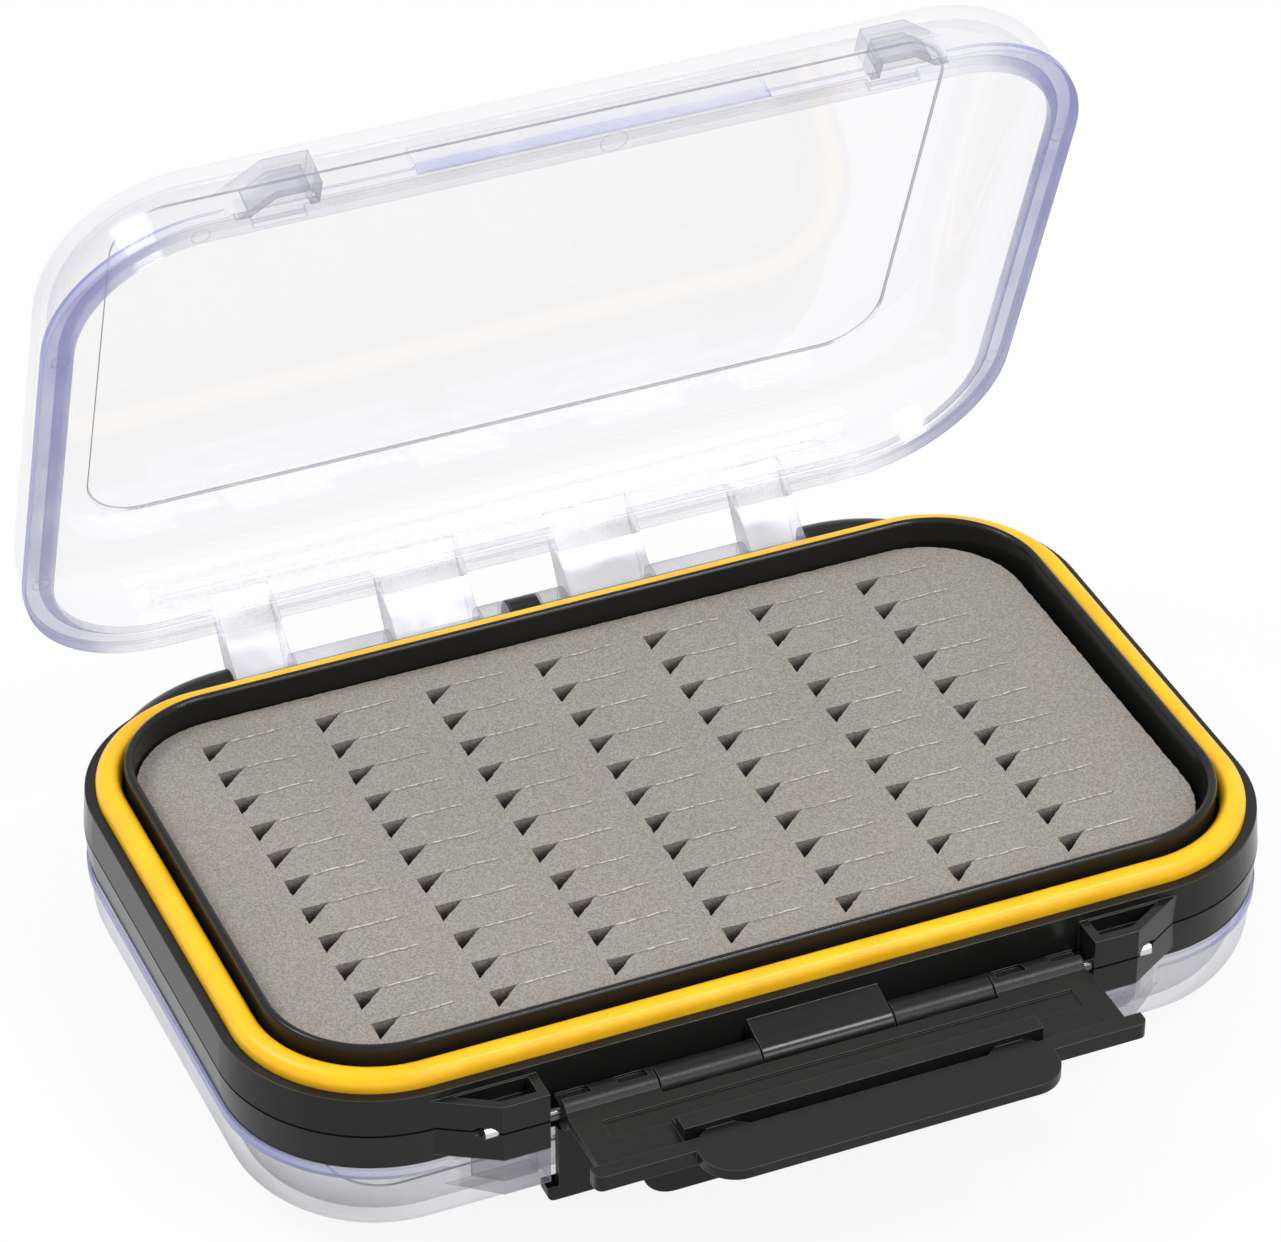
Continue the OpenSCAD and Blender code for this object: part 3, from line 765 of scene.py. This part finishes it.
@dataclass
class FoamPad:
    """A die-cut foam pad with rows of hook slots."""

    side: Side
    finish: bpy.types.Material
    box: BoxSizes = field(default_factory=BoxSizes)
    gap: float = 0.3 * MM
    gap_right: float = 1.7 * MM
    low: float = 1.28 * MM
    pattern: SlotPattern = field(default_factory=SlotPattern)
    rag: float = 0.2 * MM
    step: float = 0.45 * MM
    rag_scale: float = 900.0
    tilt: float = 0.03
    weld: float = 0.0001 * MM

    def _outline(self, tree: ShapeTree) -> Signal:
        """The pad's outline as a curve round its middle."""
        frame_line = tree.node("GeometryNodeCurvePrimitiveQuadrilateral", None,
                               {"Width": tree.given("Length"), "Height": tree.given("Width")})
        return tree.node("GeometryNodeFilletCurve", {"mode": "POLY"}, {
            "Curve": frame_line, "Radius": tree.given("Corner"), "Count": 16})

    def _notches(self, tree: ShapeTree) -> Signal:
        """All notch outlines, one in each cell of the pattern."""
        length, width = tree.given("Notch length"), tree.given("Notch width")
        spots = [(0.0, self.rag), (0.0, width * -1), (length, 0.0), (length * 1.2, self.rag)]
        corners = {f"Point {k + 1}": tree.node("ShaderNodeCombineXYZ", None, {0: px, 1: py})
                   for k, (px, py) in enumerate(spots)}
        notch = tree.node("GeometryNodeCurvePrimitiveQuadrilateral", {"mode": "POINTS"}, corners)
        spread = [tree.given(pitch) * (tree.given(count) - 1)
                  for pitch, count in (("Column pitch", "Columns"), ("Row pitch", "Rows"))]
        grid = tree.node("GeometryNodeMeshGrid", None, {
            "Size X": spread[0], "Size Y": spread[1],
            "Vertices X": tree.given("Columns"), "Vertices Y": tree.given("Rows")})
        placed = tree.node("GeometryNodeTransform", None,
                           {"Geometry": grid, "Translation": tree.given("Pattern centre")})
        tilt = tree.node("FunctionNodeRandomValue", {"data_type": "FLOAT_VECTOR"}, {
            0: (0, 0, -self.tilt), 1: (0, 0, self.tilt), "Seed": tree.given("Seed")}, 0)
        spread_out = tree.node("GeometryNodeInstanceOnPoints", None,
                               {"Points": placed, "Instance": notch, "Rotation": tilt})
        return tree.node("GeometryNodeRealizeInstances", None, {0: spread_out})

    def _ragged(self, tree: ShapeTree, curves: Signal) -> Signal:
        """Divides curves finely and makes them slightly uneven, as a die cuts foam."""
        fine = tree.node("GeometryNodeResampleCurve", {"mode": "LENGTH"},
                         {"Curve": curves, "Length": self.step})
        blur = tree.node("ShaderNodeTexNoise", None, {"Scale": self.rag_scale, "Detail": 1.0},
                         "Color")
        centred = tree.node("ShaderNodeVectorMath", {"operation": "SUBTRACT"},
                            {0: blur, 1: (0.5, 0.5, 0.5)}, 0)
        flat = tree.node("ShaderNodeVectorMath", {"operation": "MULTIPLY"},
                         {0: centred, 1: (2 * self.rag, 2 * self.rag, 0.0)}, 0)
        return tree.node("GeometryNodeSetPosition", None, {"Geometry": fine, "Offset": flat})

    @staticmethod
    def _plate(tree: ShapeTree, curves: Any, level: float) -> Signal:
        """Fills curves with faces at a level."""
        joined = tree.node("GeometryNodeJoinGeometry", None, {0: curves})
        filled = tree.node("GeometryNodeFillCurve", {"mode": "TRIANGLES"}, {0: joined})
        return tree.node("GeometryNodeTransform", None,
                         {"Geometry": filled, "Translation": (0.0, 0.0, level)})

    @staticmethod
    def _risen(tree: ShapeTree, plate: Signal, rise: float, topped: bool) -> Signal:
        """Lifts a plate on walls, with or without the plate on top of them."""
        lifted = tree.tree.nodes.new("GeometryNodeExtrudeMesh")
        lifted.mode = "FACES"
        tree.feed(lifted.inputs["Mesh"], plate)
        tree.feed(lifted.inputs["Offset"], tree.node("ShaderNodeCombineXYZ", None, {2: rise}))
        tree.feed(lifted.inputs["Offset Scale"], 1.0)
        tree.feed(lifted.inputs["Individual"], False)
        walls = Signal(tree, lifted.outputs["Mesh"])
        if topped:
            return walls
        return tree.node("GeometryNodeDeleteGeometry", {"domain": "FACE", "mode": "ONLY_FACE"},
                         {"Geometry": walls, "Selection": Signal(tree, lifted.outputs["Top"])})

    def build(self) -> bpy.types.Object:
        """Makes the pad round its notches.

        Returns:
            The pad, in place of its plain solid.
        """
        left = -(self.box.half_x - self.box.rim_in) + self.gap
        right = self.box.half_x - self.box.rim_in - self.gap_right
        cut = self.pattern
        start_x, start_y = cut.start
        thick = self.box.ledge - self.low
        tree = ShapeTree(f"{self.side.name.lower()}_foam_slots", {
            "Length": ("NodeSocketFloat", right - left),
            "Width": ("NodeSocketFloat", 2 * (self.box.half_y - self.box.rim_in - self.gap)),
            "Corner": ("NodeSocketFloat", self.box.corner - self.box.rim_in - self.gap),
            "Columns": ("NodeSocketInt", cut.columns),
            "Rows": ("NodeSocketInt", cut.rows),
            "Column pitch": ("NodeSocketFloat", cut.column_pitch),
            "Row pitch": ("NodeSocketFloat", cut.row_pitch),
            "Notch length": ("NodeSocketFloat", cut.notch_length),
            "Notch width": ("NodeSocketFloat", cut.notch_width),
            "Pattern centre": ("NodeSocketVector", (
                start_x + (cut.columns - 1) / 2 * cut.column_pitch,
                start_y + (cut.rows - 1) / 2 * cut.row_pitch, 0.0)),
            "Pad centre": ("NodeSocketVector", ((left + right) / 2, 0.0, 0.0)),
            "Seed": ("NodeSocketInt", 5 + self.side.value),
        })
        border = tree.node("GeometryNodeTransform", None, {
            "Geometry": self._outline(tree), "Translation": tree.given("Pad centre")})
        border = self._ragged(tree, border)
        notches = self._ragged(tree, self._notches(tree))
        pierced = self._plate(tree, [border, notches], -cut.depth)
        slab = self._risen(tree, pierced, cut.depth, True)
        hem = self._risen(tree, self._plate(tree, border, -thick), thick - cut.depth, False)
        shell = tree.node("GeometryNodeJoinGeometry", None, {0: [
            slab, hem, self._plate(tree, notches, -cut.depth), self._plate(tree, border, -thick)]})
        sealed = tree.node("GeometryNodeMergeByDistance", None,
                           {"Geometry": shell, "Distance": self.weld})
        placed = tree.node("GeometryNodeTransform", None, {
            "Geometry": sealed, "Scale": (1.0, 1.0, float(self.side.value)),
            "Translation": (0.0, 0.0, self.box.mid + self.side.value * self.box.ledge)})
        tree.close(placed, self.finish)
        node = f"{self.side.name.lower()}_foam"
        piece = tree.make(node + "_pad")
        face_outwards(piece.data)
        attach(piece, "frame")
        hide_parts(node)
        return piece


@dataclass
class CarriedParts:
    """CAD nodes that keep their shape and only take a finish."""

    nodes: tuple[str, ...]
    finish: bpy.types.Material

    def build(self) -> list[bpy.types.Object]:
        """Dresses the nodes.

        Returns:
            The dressed objects.
        """
        pieces = [frame["nodes"][name] for name in self.nodes]
        for piece in pieces:
            dress(piece, self.finish)
        return pieces


# ---- the studio ----


def seen_rays(book: NodeBook) -> Signal:
    """1 for the rays that show the surroundings: to the camera, in gloss and through glass."""
    camera, glossy, through = (book.node("ShaderNodeLightPath", output=name) for name in (
        "Is Camera Ray", "Is Glossy Ray", "Is Transmission Ray"))
    return camera.math("MAXIMUM", glossy.math("MAXIMUM", through))


@dataclass(frozen=True)
class Lamp:
    """A square soft lamp that faces the box: its place and side in metres, its power in watts."""

    name: str
    place: Point
    size: float
    power: float

    def build(self) -> None:
        """Hangs the lamp."""
        data = bpy.data.lights.new(self.name, "AREA")
        data.size = self.size
        data.energy = self.power
        lamp = bpy.data.objects.new(self.name, data)
        bpy.context.scene.collection.objects.link(lamp)
        facing = (Vector(self.place) - Vector((0, 0, 0.03))).to_track_quat("Z", "Y")
        lamp.matrix_world = Matrix.Translation(self.place) @ facing.to_matrix().to_4x4()


@dataclass
class Studio:
    """Camera, soft lamps, white surroundings and a pale floor."""

    lens: float = 161.4
    eye: Point = (-0.2584, -0.5927, 0.5193)
    look: Point = (0.32032, 0.74736, -0.58211)
    roll: float = math.radians(-0.1)
    floor_half: float = 6.0
    floor_level: float = -0.3 * MM
    world_light: float = 0.55
    floor_glow: float = 0.9
    lamps: tuple[Lamp, ...] = (
        Lamp("key_light", (-0.7, 0.35, 1.1), 0.45, 8.0),
        Lamp("front_light", (0.5, -1.2, 0.9), 0.4, 4.5),
        Lamp("top_light", (0.5, -0.55, 1.3), 0.28, 7.5))

    def build(self) -> None:
        """Sets everything up."""
        self._camera()
        self._world()
        self._floor()
        for lamp in self.lamps:
            lamp.build()
        bpy.context.scene.view_settings.view_transform = "Standard"

    def _camera(self) -> None:
        """Places the camera as the photograph was taken."""
        data = bpy.data.cameras.new("camera")
        data.sensor_fit = "HORIZONTAL"
        data.sensor_width = 36
        data.lens = self.lens
        data.clip_start = 0.01
        data.clip_end = 50
        camera = bpy.data.objects.new("camera", data)
        bpy.context.scene.collection.objects.link(camera)
        facing = (-Vector(self.look)).to_track_quat("Z", "Y") @ Quaternion((0, 0, 1), self.roll)
        camera.matrix_world = Matrix.Translation(self.eye) @ facing.to_matrix().to_4x4()
        bpy.context.scene.camera = camera

    def _world(self) -> None:
        """White surroundings, dimmer as a light than they look."""
        world = bpy.data.worlds.new("studio")
        bpy.context.scene.world = world
        world.use_nodes = True
        book = NodeBook(world.node_tree)
        book.tree.nodes.clear()
        strength = seen_rays(book) * (1 - self.world_light) + self.world_light
        glow = book.node("ShaderNodeBackground", None, {"Color": (1, 1, 1, 1), "Strength": strength})
        out = book.tree.nodes.new("ShaderNodeOutputWorld")
        book.feed(out.inputs["Surface"], glow)

    def _floor(self) -> None:
        """A pale floor that looks white but keeps the shadow."""
        mesh = bpy.data.meshes.new("floor")
        corners = [(x * self.floor_half, y * self.floor_half, self.floor_level)
                   for x, y in ((-1, -1), (1, -1), (1, 1), (-1, 1))]
        mesh.from_pydata(corners, [], [(0, 1, 2, 3)])
        floor = add_object("floor", mesh)
        book = ShaderBook("pale_floor")
        book.finish(Base_Color=(0.86, 0.86, 0.86, 1), Roughness=0.9)
        glow = book.node("ShaderNodeEmission", None, {"Color": (1, 1, 1, 1), "Strength": 1.0})
        book.blend(1 - seen_rays(book) * self.floor_glow, glow)
        dress(floor, book.material)


def main() -> None:
    """Builds the studio and every piece."""
    logging.basicConfig(level=logging.INFO, format="%(message)s")
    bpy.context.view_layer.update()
    Studio().build()
    box = BoxSizes()
    gloss = BlackPlastic("frame_gloss", (0.008, 0.008, 0.0075), shine=0.2, roughness=0.2,
                         grain=0.6 * MM, depth=0.006 * MM, seam_height=box.mid)
    satin = BlackPlastic("latch_satin", (0.007, 0.007, 0.0065), shine=0.2, roughness=0.33,
                         grain=0.35 * MM, depth=0.02 * MM)
    # The shut lid takes a painted grey shade on its walls, the open lid none.
    open_clear = ClearPlastic("open_lid_clear", box, turn_to_shut=math.radians(70), grey_shade=0.0)
    shut_clear = ClearPlastic("shut_lid_clear", box, turn_to_shut=0.0, grey_shade=0.14)
    film = PlainFilm("film_white", (0.72, 0.7, 0.65))
    steel = DrawnSteel("pin_steel", (0.62, 0.62, 0.63))
    pins = ("left_hinge_pin", "right_hinge_pin", "left_latch_pin", "right_latch_pin")
    for nodes, finish in ((("frame",), gloss), (("upper_latch", "lower_latch"), satin),
                          (("upper_lid",), open_clear), (("lower_lid",), shut_clear),
                          (("upper_foam_film", "lower_foam_film"), film), (pins, steel)):
        for piece in CarriedParts(nodes, finish.build()).build():
            LOG.info("dressed %s", piece.name)
    yellow = SealRubber("seal_yellow", (1.0, 0.56, 0.012), (0.95, 0.49, 0.008)).build()
    grey = CellFoam("foam_grey", (0.3, 0.27, 0.238), (0.64, 0.62, 0.58), SlotPattern(), box).build()
    for side in Side:
        for maker in (Seal(side, yellow), FoamPad(side, grey)):
            piece = maker.build()
            LOG.info("made %s with %d faces", piece.name, len(piece.data.polygons))


if __name__ == "__main__":
    main()
